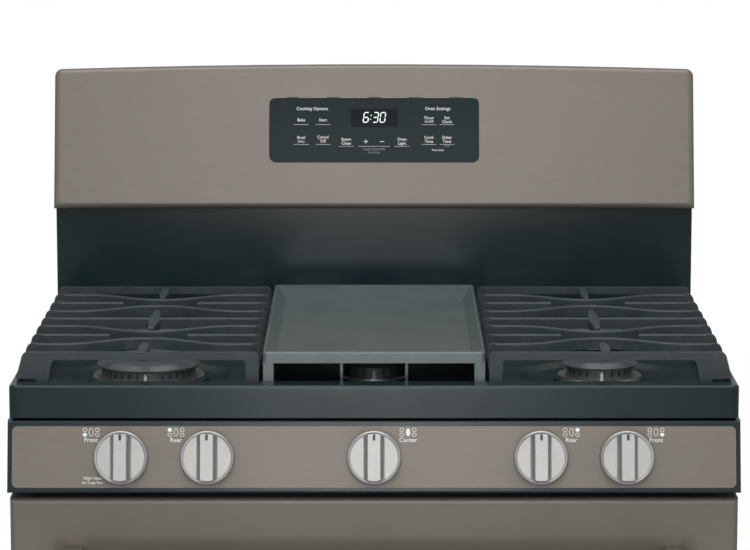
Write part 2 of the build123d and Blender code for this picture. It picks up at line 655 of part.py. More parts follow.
# ---- knob panel ----
def panel_form(inset):
    """The leaning box of the knob panel, drawn smaller all round by inset."""
    lean = tan(radians(PANEL_LEAN))
    front = inset / cos(radians(PANEL_LEAN))
    top_z = PANEL_TOP[1] - inset
    low_z = PANEL_LOW_Z + inset
    half = PANEL_HALF - inset
    with BuildPart() as form:
        with BuildSketch(Plane.YZ.offset(-half)):
            with BuildLine():
                Polyline(
                    (PANEL_TOP[0] - (PANEL_TOP[1] - top_z) * lean + front, top_z),
                    (PANEL_TOP[0] - (PANEL_TOP[1] - low_z) * lean + front, low_z),
                    (PANEL_BACK_Y + inset, low_z), (PANEL_BACK_Y + inset, top_z), close=True,
                )
            make_face()
        extrude(amount=2 * half)
        if not inset:
            fillet(form.faces().sort_by(Axis.Y)[0].edges(), 2.2)
    return form.part


INSERT_SIZE = (749.0, 63.7)
INSERT_Z = 846.5

with BuildPart() as manifold_panel:
    add(panel_form(0))
    add(panel_form(3), mode=Mode.SUBTRACT)
    with BuildSketch(on_panel(0, INSERT_Z)):
        RectangleRounded(INSERT_SIZE[0] + 0.6, INSERT_SIZE[1] + 0.6, 5.8)
    extrude(amount=-1.2, mode=Mode.SUBTRACT)
    for burner in BURNERS:
        with BuildSketch(on_panel(burner[6])):
            Circle(9)
        extrude(amount=6, both=True, mode=Mode.SUBTRACT)
save(manifold_panel, "manifold_panel")

with BuildPart() as manifold_panel_insert:
    with BuildSketch(on_panel(0, INSERT_Z).offset(-1.2)):
        RectangleRounded(INSERT_SIZE[0], INSERT_SIZE[1], 5.5)
    extrude(amount=1.1)
    for burner in BURNERS:
        with BuildSketch(on_panel(burner[6])):
            Circle(6)
        extrude(amount=6, both=True, mode=Mode.SUBTRACT)
save(manifold_panel_insert, "manifold_panel_insert")

# the grip bar's profile across the knob: half widths at its foot and at its top
BAR_FOOT = 12.9
BAR_SIDE = 7.85
FACE_H = 16.0
KNOB_H = 28.0

with BuildPart() as grip:
    with BuildSketch(Plane.XZ):
        with BuildLine():
            for s in (-1, 1):
                ThreePointArc((s * BAR_FOOT, FACE_H - 1), (s * 9.3, FACE_H + 1.6), (s * BAR_SIDE, FACE_H + 6))
                Line((s * BAR_SIDE, FACE_H + 6), (s * 7.4, KNOB_H - 1.2))
                Line((s * 7.4, KNOB_H - 1.2), (s * 6.4, KNOB_H))
            Line((-BAR_FOOT, FACE_H - 1), (BAR_FOOT, FACE_H - 1))
            Line((-6.4, KNOB_H), (6.4, KNOB_H))
        make_face()
    extrude(amount=24.2, both=True)
    Cylinder(24.2, 80, mode=Mode.INTERSECT)
    with BuildSketch(Plane.XY.offset(KNOB_H)):
        with Locations((0, 20.6)):
            SlotOverall(7.3, 3, rotation=90)
    extrude(amount=-0.8, mode=Mode.SUBTRACT)

with BuildPart() as knob_form:
    with BuildSketch(Plane.XZ):
        with BuildLine():
            Polyline(
                (0, KNOB_GAP), (26.6, KNOB_GAP), (KNOB_R, KNOB_GAP + 1.6), (KNOB_R, 15.6), (27.3, 17.2),
                (26.3, 17.8), (25.3, 17.6), (24.9, 16.8), (24.9, 15), (24.3, 15), (24.3, FACE_H), (0, FACE_H),
                close=True,
            )
        make_face()
    revolve(axis=Axis.Z)
    add(grip.part)
    with Locations((0, 0, KNOB_GAP - 1)):
        Cylinder(STEM_R + RUNNING, 21.2, align=(Align.CENTER, Align.CENTER, Align.MIN), mode=Mode.SUBTRACT)

STEM_TOP = 24.0
STEM_FOOT = -46.0
for burner in BURNERS:
    with BuildPart() as valve_stem:
        with Locations(on_panel(burner[6]).location):
            with Locations((0, 0, (STEM_TOP + STEM_FOOT) / 2)):
                Cylinder(STEM_R, STEM_TOP - STEM_FOOT)
    save(valve_stem, f"valve_stem_{burner[0]}")
    with BuildPart() as knob:
        with Locations(on_panel(burner[6]).location):
            add(knob_form.part)
    save(knob, f"knob_{burner[0]}")


# ---- grates and griddle ----
def hourglass_bar(y_end, y_mid):
    """A bar that bends towards the burner's centre and back again, rounded on top."""
    reach = 72.0
    mid_z = GRATE_TOP - BAR_TALL / 2
    with BuildPart() as bar:
        with BuildLine() as route:
            FilletPolyline(
                (-GRATE_OUT_X + 8, y_end, mid_z), (-BURNER_X - reach, y_end, mid_z), (-BURNER_X, y_mid, mid_z),
                (-BURNER_X + reach, y_end, mid_z), (-GRATE_IN_X - 5, y_end, mid_z), radius=62,
            )
        with BuildSketch(Plane(origin=route.line @ 0, x_dir=(0, 1, 0), z_dir=(1, 0, 0))) as section:
            Rectangle(BAR, BAR_TALL)
            fillet(section.vertices().group_by(Axis.Y)[-1], 1.8)
        sweep(path=route.line)
    return bar.part


def straight_bar(x, y, tall=BAR_TALL, wide=BAR):
    """A straight bar over the ranges x and y, rounded on top."""
    with BuildPart() as bar:
        block(x, y, (GRATE_TOP - tall, GRATE_TOP))
        fillet(bar.faces().sort_by(Axis.Z)[-1].edges(), 1.8)
    return bar.part


def spine(y_low, y_high, wide):
    """A short rib over the burner's centre line that tapers towards both ends."""
    mid = (y_low + y_high) / 2
    with BuildPart() as rib:
        with BuildSketch(Plane.XY.offset(GRATE_TOP - 10)):
            half = wide / 2
            outline = [(3, y_low), (half, mid - 12), (half, mid + 12), (3, y_high)]
            left = [(-x, y) for x, y in reversed(outline)]
            Polygon(*[(x - BURNER_X, y) for x, y in outline + left], align=None)
        extrude(amount=10)
        fillet(rib.faces().sort_by(Axis.Z)[-1].edges(), 1.6)
    return rib.part


def end_hooks(y, wide=BAR):
    """Both ends of a bar, turned down to the side rails."""
    out, inn = -GRATE_OUT_X, -GRATE_IN_X
    with BuildPart() as hooks:
        with BuildSketch(Plane.XZ.offset(-y - wide / 2)):
            with BuildLine():
                Line((out + 10, 950), (out + 5.5, 950))
                ThreePointArc((out + 5.5, 950), (out + 1.2, 948.4), (out - 1, 944.5))
                Polyline(
                    (out - 1, 944.5), (out - 7, 922), (out + 3, 922), (out + 5.5, 936), (out + 10, 938), (out + 10, 950),
                )
            make_face()
            with BuildLine():
                Line((inn - 8, 950), (inn - 5, 950))
                ThreePointArc((inn - 5, 950), (inn - 1.4, 948.6), (inn, 945))
                Polyline((inn, 945), (inn, 918), (inn - 7, 918), (inn - 7, 938), (inn - 8, 938), (inn - 8, 950))
            make_face()
        extrude(amount=wide)
    return hooks.part


def front_bar(y):
    """The deep bar at the front or the rear, with its two feet in the pan."""
    out, inn = -GRATE_OUT_X, -GRATE_IN_X
    with BuildPart() as bar:
        with BuildSketch(Plane.XZ.offset(-y - BAR / 2)):
            with BuildLine():
                Line((inn - 14, 940), (inn - 16, 942))
                Line((inn - 16, 942), (out + 35, 942))
                Spline((out + 35, 942), (out + 29.5, 934), (out + 26, PAN_Z + 14), tangents=[(-1, 0), (-0.1, -1)])
                Polyline(
                    (out + 26, PAN_Z + 14), (out + 25, PAN_Z), (out + 14, PAN_Z), (out + 14, 922), (out - 7, 922),
                    (out - 1, 944.5),
                )
                ThreePointArc((out - 1, 944.5), (out + 1.2, 948.4), (out + 5.5, 950))
                Line((out + 5.5, 950), (inn - 5, 950))
                ThreePointArc((inn - 5, 950), (inn - 1.4, 948.6), (inn, 945))
                Polyline((inn, 945), (inn, PAN_Z), (inn - 13, PAN_Z), (inn - 14, 940))
            make_face()
        extrude(amount=BAR)
    return bar.part


def grate_form():
    """The left grate, cast in one piece."""
    y_of = [GRATE_MID_Y + v for v in (-211, 211)]
    with BuildPart() as grate:
        for y in y_of:
            add(front_bar(y))
        add(straight_bar((-GRATE_OUT_X + 8, -GRATE_IN_X - 5), (GRATE_MID_Y - BAR / 2, GRATE_MID_Y + BAR / 2)))
        for s in (-1, 1):
            add(hourglass_bar(GRATE_MID_Y + s * 48, GRATE_MID_Y + s * 95.5))
            add(hourglass_bar(GRATE_MID_Y + s * 160, GRATE_MID_Y + s * 112.5))
            y = GRATE_MID_Y + s * 104
            add(straight_bar((-GRATE_OUT_X + 8, -BURNER_X - 41.5), (y - BAR / 2, y + BAR / 2), 10))
            add(straight_bar((-BURNER_X + 41.5, -GRATE_IN_X - 5), (y - BAR / 2, y + BAR / 2), 10))
        add(spine(-274, -217, 11))
        add(spine(-126, -12, 12))
        add(spine(76, 146, 10))
        for v in (-160, -104, -48, 0, 48, 104, 160):
            add(end_hooks(GRATE_MID_Y + v))
        rail_y = (y_of[0] - BAR / 2, y_of[1] + BAR / 2)
        with BuildSketch(Plane.XZ.offset(-rail_y[1])):
            with BuildLine():
                out = -GRATE_OUT_X
                Polyline((out - 7, 922), (out + 3, 922), (out + 4.6, 931), (out - 4.6, 931), close=True)
            make_face()
        extrude(amount=rail_y[1] - rail_y[0])
        block((-GRATE_IN_X - 7, -GRATE_IN_X), rail_y, (918, 930))
    return grate.part


left_form = grate_form()
with BuildPart() as grate_left:
    add(left_form)
save(grate_left, "grate_left")

with BuildPart() as grate_right:
    add(left_form)
    mirror(about=Plane.YZ, mode=Mode.REPLACE)
save(grate_right, "grate_right")

with BuildPart() as griddle:
    block((-GRIDDLE_HALF, GRIDDLE_HALF), GRIDDLE_Y, (939, GRIDDLE_RIM))
    fillet(griddle.edges().filter_by(Axis.Z), 4)
    fillet(griddle.faces().sort_by(Axis.Z)[-1].edges(), 2)
    with BuildSketch(Plane.XY.offset(GRIDDLE_RIM)):
        with Locations((0, (GRIDDLE_Y[0] + GRIDDLE_Y[1]) / 2)):
            RectangleRounded(2 * (GRIDDLE_HALF - 3.5), GRIDDLE_Y[1] - GRIDDLE_Y[0] - 7, 4)
    with BuildSketch(Plane.XY.offset(GRIDDLE_FLOOR)):
        with Locations((0, (GRIDDLE_Y[0] + 7 + GRIDDLE_Y[1] - 56) / 2)):
            RectangleRounded(2 * (GRIDDLE_HALF - 14), GRIDDLE_Y[1] - 56 - GRIDDLE_Y[0] - 7, 3)
    loft(mode=Mode.SUBTRACT)
    for y in (GRIDDLE_Y[0] + 1, GRIDDLE_Y[1] - 13):
        for side, name in SIDES:
            block((side * 104.6, side * (GRIDDLE_HALF - 0.5)), (y, y + 12), (PAN_Z, 940))
    for side, name in SIDES:
        block((side * 109, side * (GRIDDLE_HALF - 0.5)), (GRIDDLE_Y[0] + 2, GRIDDLE_Y[1] - 2), (930, 940))
        block((side * 32.5, side * 35.5), (-262, -256), (PAN_Z + 3, 940))
save(griddle, "griddle")


# ---- backguard ----
with BuildPart() as riser_panel:
    block((-BODY_HALF, BODY_HALF), (RISER_Y, FASCIA_BACK_Y - 0.5), (SKIRT_Z, FASCIA_LOW_Z - 0.2))
    fillet(riser_panel.edges().filter_by(Axis.Z).group_by(Axis.Y)[0], 3)
    block(
        (-BODY_HALF + SHEET, BODY_HALF - SHEET), (RISER_Y + SHEET, 400),
        (SKIRT_Z - 1, FASCIA_LOW_Z - 0.2 - SHEET), Mode.SUBTRACT,
    )
    block((-FLUE_X - 1.6, FLUE_X + 1.6), (248.4, 277.6), (1028, 1033), Mode.SUBTRACT)
save(riser_panel, "riser_panel")


def fascia_form(inset):
    """The arched, leaning box of the backguard, drawn smaller all round by inset. Its top falls away to the rear."""
    half = FASCIA_HALF - inset
    low_z, high_z = FASCIA_LOW_Z + inset, TOP_Z + 20
    face_y = [
        FASCIA_FOOT_Y + inset / cos(radians(FASCIA_LEAN)) + (z - FASCIA_LOW_Z) * tan(radians(FASCIA_LEAN))
        for z in (low_z, high_z)
    ]
    with BuildPart() as form:
        with BuildSketch(Plane.YZ.offset(-half)):
            with BuildLine():
                back_y = FASCIA_BACK_Y + inset
                Polyline((face_y[0], low_z), (face_y[1], high_z), (back_y, high_z), (back_y, low_z), close=True)
            make_face()
        extrude(amount=2 * half)
        with BuildSketch(Plane.XZ.offset(-FASCIA_TOP_Y)) as outline:
            with BuildLine():
                edge_z = FASCIA_EDGE_Z - inset
                Polyline((-half, edge_z), (-half, 900), (half, 900), (half, edge_z))
                ThreePointArc((half, edge_z), (0, TOP_Z - inset), (-half, edge_z))
            make_face()
            fillet(outline.vertices().group_by(Axis.Y)[-1], 9 - inset)
        extrude(amount=150, dir=(0, 1, -tan(radians(TOP_FALL))), both=True, mode=Mode.INTERSECT)
        fillet(form.faces().sort_by(Axis.Y)[0].edges(), 6.5 - inset)
    return form.part


with BuildPart() as backguard_fascia:
    add(fascia_form(0))
    add(fascia_form(1.5), mode=Mode.SUBTRACT)
    with BuildSketch(on_fascia(GLASS_Z)):
        RectangleRounded(GLASS_SIZE[0] + 0.8, GLASS_SIZE[1] + 0.8, 8.2)
    extrude(amount=6, both=True, mode=Mode.SUBTRACT)
    block((-FLUE_X - 1.6, FLUE_X + 1.6), (248.4, 277.6), (1030, 1034), Mode.SUBTRACT)
    with Locations((0, 231, FASCIA_LOW_Z)):
        with GridLocations(25, 1, 12, 1):
            Box(18, 8, 8, mode=Mode.SUBTRACT)
save(backguard_fascia, "backguard_fascia")

with BuildPart() as control_glass:
    with BuildSketch(on_fascia(GLASS_Z).offset(-3.2)):
        RectangleRounded(*GLASS_SIZE, 7.8)
    extrude(amount=3)
save(control_glass, "control_glass")

with BuildPart() as control_board:
    with Locations(on_fascia(GLASS_Z).location):
        block((-112, 112), (-34, 34), (-12, -10.4))
        block((-30, 30), (0, 26), (-10.4, -4))
        block((60, 105), (-28, 20), (-34, -12))
        for x in (-108, 108):
            for y in (-30, 30):
                with Locations((x, y, -7)):
                    Cylinder(3, 6.8)
save(control_board, "control_board")

with BuildPart() as backguard_rear_cover:
    block((-INNER_HALF, INNER_HALF), (353, BACK_Y), (SKIRT_Z, 1180))
    fillet(backguard_rear_cover.edges().filter_by(Axis.Y), 8)
    fillet(backguard_rear_cover.faces().sort_by(Axis.Y)[-1].edges(), 4)
    block((-INNER_HALF + 2, INNER_HALF - 2), (350, BACK_Y - SHEET - 0.3), (SKIRT_Z + 8, 1172), Mode.SUBTRACT)
    with Locations((0, BACK_Y, 1150)):
        with GridLocations(50, 1, 10, 1):
            Box(34, 10, 5, mode=Mode.SUBTRACT)
save(backguard_rear_cover, "backguard_rear_cover")
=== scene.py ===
import json
import math

import bmesh
import bpy
from mathutils import Matrix, Vector


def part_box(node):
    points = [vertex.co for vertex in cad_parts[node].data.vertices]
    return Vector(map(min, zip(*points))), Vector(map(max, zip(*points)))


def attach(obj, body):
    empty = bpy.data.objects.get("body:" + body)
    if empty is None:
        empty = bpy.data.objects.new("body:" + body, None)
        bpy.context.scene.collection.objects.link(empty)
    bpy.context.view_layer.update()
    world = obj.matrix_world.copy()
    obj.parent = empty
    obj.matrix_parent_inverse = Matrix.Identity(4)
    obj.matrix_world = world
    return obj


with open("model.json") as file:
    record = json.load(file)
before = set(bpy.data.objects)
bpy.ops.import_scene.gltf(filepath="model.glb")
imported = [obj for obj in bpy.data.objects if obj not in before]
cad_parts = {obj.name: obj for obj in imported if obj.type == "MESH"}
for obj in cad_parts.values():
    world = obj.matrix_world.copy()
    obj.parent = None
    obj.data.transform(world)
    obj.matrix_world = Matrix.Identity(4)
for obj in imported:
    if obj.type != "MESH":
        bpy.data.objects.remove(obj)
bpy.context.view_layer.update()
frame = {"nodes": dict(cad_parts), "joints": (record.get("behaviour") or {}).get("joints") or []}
MM = 0.001
PANEL_LEAN = math.radians(13.3)  # knob panel, off vertical
FASCIA_LEAN = math.radians(14.04)  # backguard face, off vertical
KNOBS = ("left_front", "left_rear", "centre", "right_rear", "right_front")


# ---- colours and nodes ----
def linear(hex_code, alpha=1.0):
    """An sRGB hex colour as Blender's linear colour."""
    parts = [int(hex_code[i:i + 2], 16) / 255 for i in (1, 3, 5)]
    return [c / 12.92 if c < 0.04045 else ((c + 0.055) / 1.055) ** 2.4 for c in parts] + [alpha]


def add_node(tree, kind, inputs=None, **settings):
    """Add a node, set its settings, and set or link its inputs."""
    made = tree.nodes.new(kind)
    for name, value in settings.items():
        setattr(made, name, value)
    for name, value in (inputs or {}).items():
        socket = made.inputs[name]
        if isinstance(value, bpy.types.NodeSocket):
            tree.links.new(value, socket)
        else:
            socket.default_value = value
    return made


def new_material(name, colour, rough, metal=0.0):
    """A material with one Principled shader, its tree and that shader."""
    made = bpy.data.materials.new(name)
    made.use_nodes = True
    tree = made.node_tree
    shader = tree.nodes["Principled BSDF"]
    values = {"Base Color": linear(colour), "Roughness": rough, "Metallic": metal}
    for socket, value in values.items():
        shader.inputs[socket].default_value = value
    return made, tree, shader


def mm_noise(tree, size_mm, stretch=(1, 1, 1), detail=3.0):
    """Noise whose lumps are about size_mm across, stretched along an axis for brushed lines."""
    place = add_node(tree, "ShaderNodeTexCoord").outputs["Object"]
    scale = [s / (size_mm * MM) for s in stretch]
    mapped = add_node(tree, "ShaderNodeMapping", {"Vector": place, "Scale": scale}).outputs["Vector"]
    noise = add_node(tree, "ShaderNodeTexNoise", {"Vector": mapped, "Scale": 1.0, "Detail": detail})
    return noise.outputs["Fac"]


def raise_relief(tree, shader, height, depth_mm, strength=1.0):
    """Raise the surface by height, up to depth_mm."""
    inputs = {"Height": height, "Distance": depth_mm * MM, "Strength": strength}
    made = add_node(tree, "ShaderNodeBump", inputs)
    tree.links.new(made.outputs["Normal"], shader.inputs["Normal"])


def drift_shade(tree, shader, fac, dark, light):
    """Drift the colour between two shades with fac."""
    ramp = add_node(tree, "ShaderNodeValToRGB", {"Fac": fac})
    ramp.color_ramp.elements[0].position = 0.35
    ramp.color_ramp.elements[1].position = 0.65
    ramp.color_ramp.elements[0].color = linear(dark)
    ramp.color_ramp.elements[1].color = linear(light)
    tree.links.new(ramp.outputs["Color"], shader.inputs["Base Color"])


def drift_gloss(tree, shader, fac, low, high):
    """Drift the roughness between low and high with fac."""
    made = add_node(tree, "ShaderNodeMapRange", {"Value": fac, "To Min": low, "To Max": high})
    tree.links.new(made.outputs["Result"], shader.inputs["Roughness"])


# ---- materials ----
def slate_coat():
    """Pigmented satin coat on steel: warm grey, a soft sheen and a very fine brushed line."""
    made, tree, shader = new_material("slate_coat_on_steel", "#6F6961", 0.4, 0.3)
    fine = mm_noise(tree, 0.9, (0.06, 1, 1))
    drift_shade(tree, shader, fine, "#6A645C", "#6E6860")
    drift_gloss(tree, shader, mm_noise(tree, 30), 0.36, 0.42)
    raise_relief(tree, shader, fine, 0.012, 0.15)
    return made


def gloss_enamel():
    """Fired porcelain enamel, sprayed: near black, glossy, with a faint orange peel."""
    made, tree, shader = new_material("dark_porcelain_enamel", "#1A282B", 0.2)
    shader.inputs["Specular IOR Level"].default_value = 0.29
    drift_shade(tree, shader, mm_noise(tree, 90, detail=1), "#18272A", "#1C2B2E")
    drift_gloss(tree, shader, mm_noise(tree, 24), 0.17, 0.26)
    raise_relief(tree, shader, mm_noise(tree, 4.5, detail=1), 0.03, 0.3)
    return made


def iron_enamel():
    """Cast iron under matt enamel: sand-cast pebbling shows through."""
    made, tree, shader = new_material("enamelled_cast_iron", "#2B3234", 0.55)
    pebble = mm_noise(tree, 1.6, detail=4)
    drift_shade(tree, shader, mm_noise(tree, 14), "#273133", "#2F3A3C")
    drift_gloss(tree, shader, pebble, 0.45, 0.62)
    raise_relief(tree, shader, pebble, 0.16, 0.6)
    return made


def griddle_coat():
    """Non-stick coat over cast iron: grey, satin, with fine pimples."""
    made, tree, shader = new_material("coated_griddle_iron", "#525B5C", 0.38, 0.2)
    pebble = mm_noise(tree, 1.2, detail=3)
    drift_shade(tree, shader, mm_noise(tree, 60, detail=2), "#4F5859", "#555E5F")
    drift_gloss(tree, shader, mm_noise(tree, 26), 0.26, 0.34)
    raise_relief(tree, shader, pebble, 0.05, 0.4)
    return made


def cap_coat():
    """Matt enamel on a pressed burner cap."""
    made, tree, shader = new_material("matt_enamel_cap", "#414A4C", 0.5)
    drift_shade(tree, shader, mm_noise(tree, 9), "#3E4749", "#454E50")
    raise_relief(tree, shader, mm_noise(tree, 0.9), 0.05, 0.4)
    return made


def cast_aluminium():
    """Die-cast aluminium, bare and bright where it was machined."""
    made, tree, shader = new_material("die_cast_aluminium", "#B9BCBC", 0.34, 1.0)
    drift_shade(tree, shader, mm_noise(tree, 5), "#A9ACAC", "#C6C9C9")
    drift_gloss(tree, shader, mm_noise(tree, 2), 0.26, 0.45)
    raise_relief(tree, shader, mm_noise(tree, 0.8), 0.04, 0.4)
    return made


def satin_silver():
    """Satin-plated knob metal: bright, with a fine turned grain."""
    made, tree, shader = new_material("satin_silver_plating", "#A9A8A6", 0.42, 0.75)
    fine = mm_noise(tree, 0.7, (0.2, 1, 1))
    drift_shade(tree, shader, fine, "#9E9D9B", "#A4A3A1")
    drift_gloss(tree, shader, mm_noise(tree, 6), 0.38, 0.46)
    raise_relief(tree, shader, fine, 0.015, 0.25)
    return made


def brushed_steel():
    """Brushed stainless steel, lines along the bar."""
    made, tree, shader = new_material("brushed_stainless", "#A29D97", 0.36, 1.0)
    fine = mm_noise(tree, 0.8, (0.03, 1, 1))
    drift_shade(tree, shader, fine, "#97928C", "#ADA8A2")
    raise_relief(tree, shader, fine, 0.02, 0.3)
    return made


def zinc_sheet():
    """Galvanised sheet: grey spangles of zinc crystals."""
    made, tree, shader = new_material("galvanised_steel", "#9EA2A4", 0.45, 0.8)
    place = add_node(tree, "ShaderNodeTexCoord").outputs["Object"]
    cells = add_node(tree, "ShaderNodeTexVoronoi", {"Vector": place, "Scale": 1 / (9 * MM)})
    grey = add_node(tree, "ShaderNodeSeparateColor", {"Color": cells.outputs["Color"]}).outputs["Red"]
    drift_shade(tree, shader, grey, "#8F9395", "#A9ADAF")
    drift_gloss(tree, shader, grey, 0.38, 0.55)
    return made


def painted_sheet():
    """Baked paint on the side panels: dark, semi-gloss, slight peel."""
    made, tree, shader = new_material("baked_paint_steel", "#2A3133", 0.35)
    drift_shade(tree, shader, mm_noise(tree, 70), "#282F31", "#2D3436")
    drift_gloss(tree, shader, mm_noise(tree, 15), 0.3, 0.4)
    raise_relief(tree, shader, mm_noise(tree, 2.2, detail=1), 0.03, 0.35)
    return made


def oven_enamel():
    """Oven porcelain: blue-black with small pale speckles."""
    made, tree, shader = new_material("speckled_oven_enamel", "#1B2027", 0.3)
    place = add_node(tree, "ShaderNodeTexCoord").outputs["Object"]
    cells = add_node(tree, "ShaderNodeTexVoronoi", {"Vector": place, "Scale": 1 / (3.2 * MM)})
    ramp = add_node(tree, "ShaderNodeValToRGB", {"Fac": cells.outputs["Distance"]})
    ramp.color_ramp.elements[0].position = 0.12
    ramp.color_ramp.elements[1].position = 0.2
    ramp.color_ramp.elements[0].color = linear("#8A94A0")
    ramp.color_ramp.elements[1].color = linear("#1B2027")
    tree.links.new(ramp.outputs["Color"], shader.inputs["Base Color"])
    raise_relief(tree, shader, mm_noise(tree, 3), 0.03, 0.3)
    return made


def mottled(name, dark, light, rough, metal=0.0, size_mm=2.0, depth_mm=0.03):
    """A finish with a gentle drift of shade and a small grain of its own."""
    made, tree, shader = new_material(name, dark, rough, metal)
    fine = mm_noise(tree, size_mm)
    drift_shade(tree, shader, fine, dark, light)
    raise_relief(tree, shader, fine, depth_mm, 0.4)
    return made


def dark_glass(name, colour, alpha):
    """Tinted glass sheet, polished, with the faint waviness of tempering."""
    made, tree, shader = new_material(name, colour, 0.06)
    shader.inputs["Alpha"].default_value = alpha
    shader.inputs["Specular IOR Level"].default_value = 0.02
    drift_gloss(tree, shader, mm_noise(tree, 40), 0.05, 0.1)
    raise_relief(tree, shader, mm_noise(tree, 60, detail=0), 0.02, 0.15)
    return made


def lit(name, colour, strength):
    """A display segment that glows by itself."""
    made, tree, shader = new_material(name, colour, 0.5)
    shader.inputs["Emission Color"].default_value = linear(colour)
    shader.inputs["Emission Strength"].default_value = strength
    return made


slate = slate_coat()
enamel = gloss_enamel()
iron = iron_enamel()
zinc = zinc_sheet()
steel = brushed_steel()
paint = painted_sheet()
silver = satin_silver()
lining = oven_enamel()
bright = cast_aluminium()
# turned brass: yellow, bright, a little uneven
brass = mottled("machined_brass", "#B08D4A", "#C4A05A", 0.3, 1.0)
# plated wire: bright thin lines in the dark oven
chrome = mottled("nickel_plated_wire", "#B9BABA", "#CFD0D0", 0.2, 1.0)
# fired ceramic: chalky off-white
ceramic = mottled("fired_ceramic", "#DAD6CC", "#E8E5DC", 0.6)
# moulded ABS: black, with a fine spark-eroded grain
plastic = mottled("moulded_abs", "#151717", "#1C1E1E", 0.45, size_mm=0.6)
# zinc-plated steel: pale grey metal, half bright
bare_steel = mottled("zinc_plated_steel", "#9DA0A2", "#B2B5B7", 0.35, 0.95)
# woven glass fibre: dark, dull and ribbed
braid = mottled("glass_fibre_braid", "#2E2F31", "#45474A", 0.9, size_mm=1.5, depth_mm=0.4)
# mineral wool: yellow-brown and lumpy
wool = mottled("mineral_wool", "#B7AA84", "#D2C69F", 0.95, size_mm=6, depth_mm=1.5)
# glass laminate under green solder mask
laminate = mottled("board_laminate", "#12401F", "#185229", 0.35)
# back-painted glass: dark slate, smooth, weak reflection
control_face = dark_glass("black_control_glass", "#202A2C", 1.0)
# tinted tempered glass: near black, the oven shows through faintly
window_tint = dark_glass("tempered_window_glass", "#0C0F10", 0.72)
# clear blown glass, drawn as half see-through
lamp_glass = dark_glass("clear_lamp_glass", "#E9E5DA", 0.5)
# smoked window over the clock, darker than the glass around it
display_face = dark_glass("display_window", "#10171A", 1.0)
# screen-printed inks: flat and opaque
printed_white = mottled("screen_print_white", "#DDE0DF", "#E8EAE9", 0.6, size_mm=0.8, depth_mm=0.005)
printed_grey = mottled("screen_print_grey", "#7B8384", "#858D8E", 0.6, size_mm=0.8, depth_mm=0.005)
printed_red = mottled("screen_print_red", "#A5382F", "#B04036", 0.6, size_mm=0.8, depth_mm=0.005)
# black enamel fill in the pointer slots and the window border
printed_black = mottled("black_inlay", "#101213", "#17191A", 0.4, size_mm=0.8, depth_mm=0.005)
# clock segments: white and lit from inside
glow = lit("display_segments", "#DDE6E6", 0.5)
# die-cast aluminium that heat has dulled to grey
burner_metal = mottled("oxidised_aluminium", "#6F7474", "#848989", 0.45, 0.9)
# moulded silicone rubber: black and dull
pad_rubber = mottled("silicone_rubber", "#1D1F20", "#262829", 0.75, size_mm=0.8)

finishes = {
    slate: ("backguard_fascia", "manifold_panel_insert", "door_outer_panel", "drawer_front"),
    enamel: ("main_top", "riser_panel", "manifold_panel"),
    paint: ("side_panel_left", "side_panel_right", "base_frame", "drawer_box"),
    zinc: ("back_panel", "backguard_rear_cover", "hinge_receivers", "oven_flue"),
    lining: ("oven_liner", "oven_floor_plate", "front_frame", "door_liner"),
    bare_steel: (
        "levelling_legs", "body_screws", "door_hinge_arms",
        "temperature_sensor", "bake_burner", "broil_burner",
    ),
    wool: ("oven_insulation",),
    ceramic: ("oven_igniters", "spark_electrodes"),
    lamp_glass: ("oven_lamp",),
    chrome: ("rack_lower", "rack_upper"),
    window_tint: ("door_window_outer", "door_window_inner"),
    steel: ("door_handle", "door_handle_posts"),
    braid: ("door_gasket",),
    bright: ("burner_trim_rings", "pressure_regulator", "gas_manifold", "burner_supply_tubes"),
    cap_coat(): ("burner_caps",),
    burner_metal: ("burner_heads",),
    iron: ("grate_left", "grate_right"),
    griddle_coat(): ("griddle",),
    brass: ("gas_valves",) + tuple(f"valve_stem_{k}" for k in KNOBS),
    silver: tuple(f"knob_{k}" for k in KNOBS),
    control_face: ("control_glass",),
    laminate: ("control_board",),
    plastic: ("spark_module", "power_inlet_bush"),
}
for finish, names in finishes.items():
    for name in names:
        for spot in frame["nodes"][name].material_slots:
            spot.material = finish


# ---- mesh helpers ----
def piece(name, mesh, material, body):
    """Make a mesh a named piece that rides on a CAD body."""
    made = bpy.data.objects.new(name, mesh)
    bpy.context.scene.collection.objects.link(made)
    mesh.materials.clear()
    mesh.materials.append(material)
    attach(made, body)
    return made


def to_mesh(bm, name):
    """Turn a bmesh into a mesh and free the bmesh."""
    mesh = bpy.data.meshes.new(name)
    bm.to_mesh(mesh)
    bm.free()
    return mesh


def face_plane(node, lean, half_thick):
    """The front face of a leaning sheet: X across, Y up the slope, Z out towards the cook."""
    low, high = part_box(node)
    out = Vector((0, -math.cos(lean), math.sin(lean)))
    up = Vector((0, math.sin(lean), math.cos(lean)))
    centre = (low + high) / 2 + out * half_thick
    turn = Matrix((Vector((1, 0, 0)), up, out)).transposed().to_4x4()
    return Matrix.Translation(centre) @ turn


def slab(bm, outline, low, high):
    """A flat plate between two heights. An anticlockwise outline gives it outward faces."""
    bottom = [bm.verts.new((x, y, low)) for x, y in outline]
    top = [bm.verts.new((x, y, high)) for x, y in outline]
    bm.faces.new(bottom[::-1])
    bm.faces.new(top)
    for i in range(len(outline)):
        j = (i + 1) % len(outline)
        bm.faces.new((bottom[i], bottom[j], top[j], top[i]))


def bar_outline(x, y, wide, tall):
    """The corners of an upright rectangle centred on x, y."""
    return [(x + sx * wide / 2, y + sy * tall / 2) for sx, sy in ((-1, -1), (1, -1), (1, 1), (-1, 1))]


def round_outline(x, y, half_x, half_y, steps=20):
    """A circle or an ellipse as an outline."""
    turns = [2 * math.pi * i / steps for i in range(steps)]
    return [(x + half_x * math.cos(a), y + half_y * math.sin(a)) for a in turns]


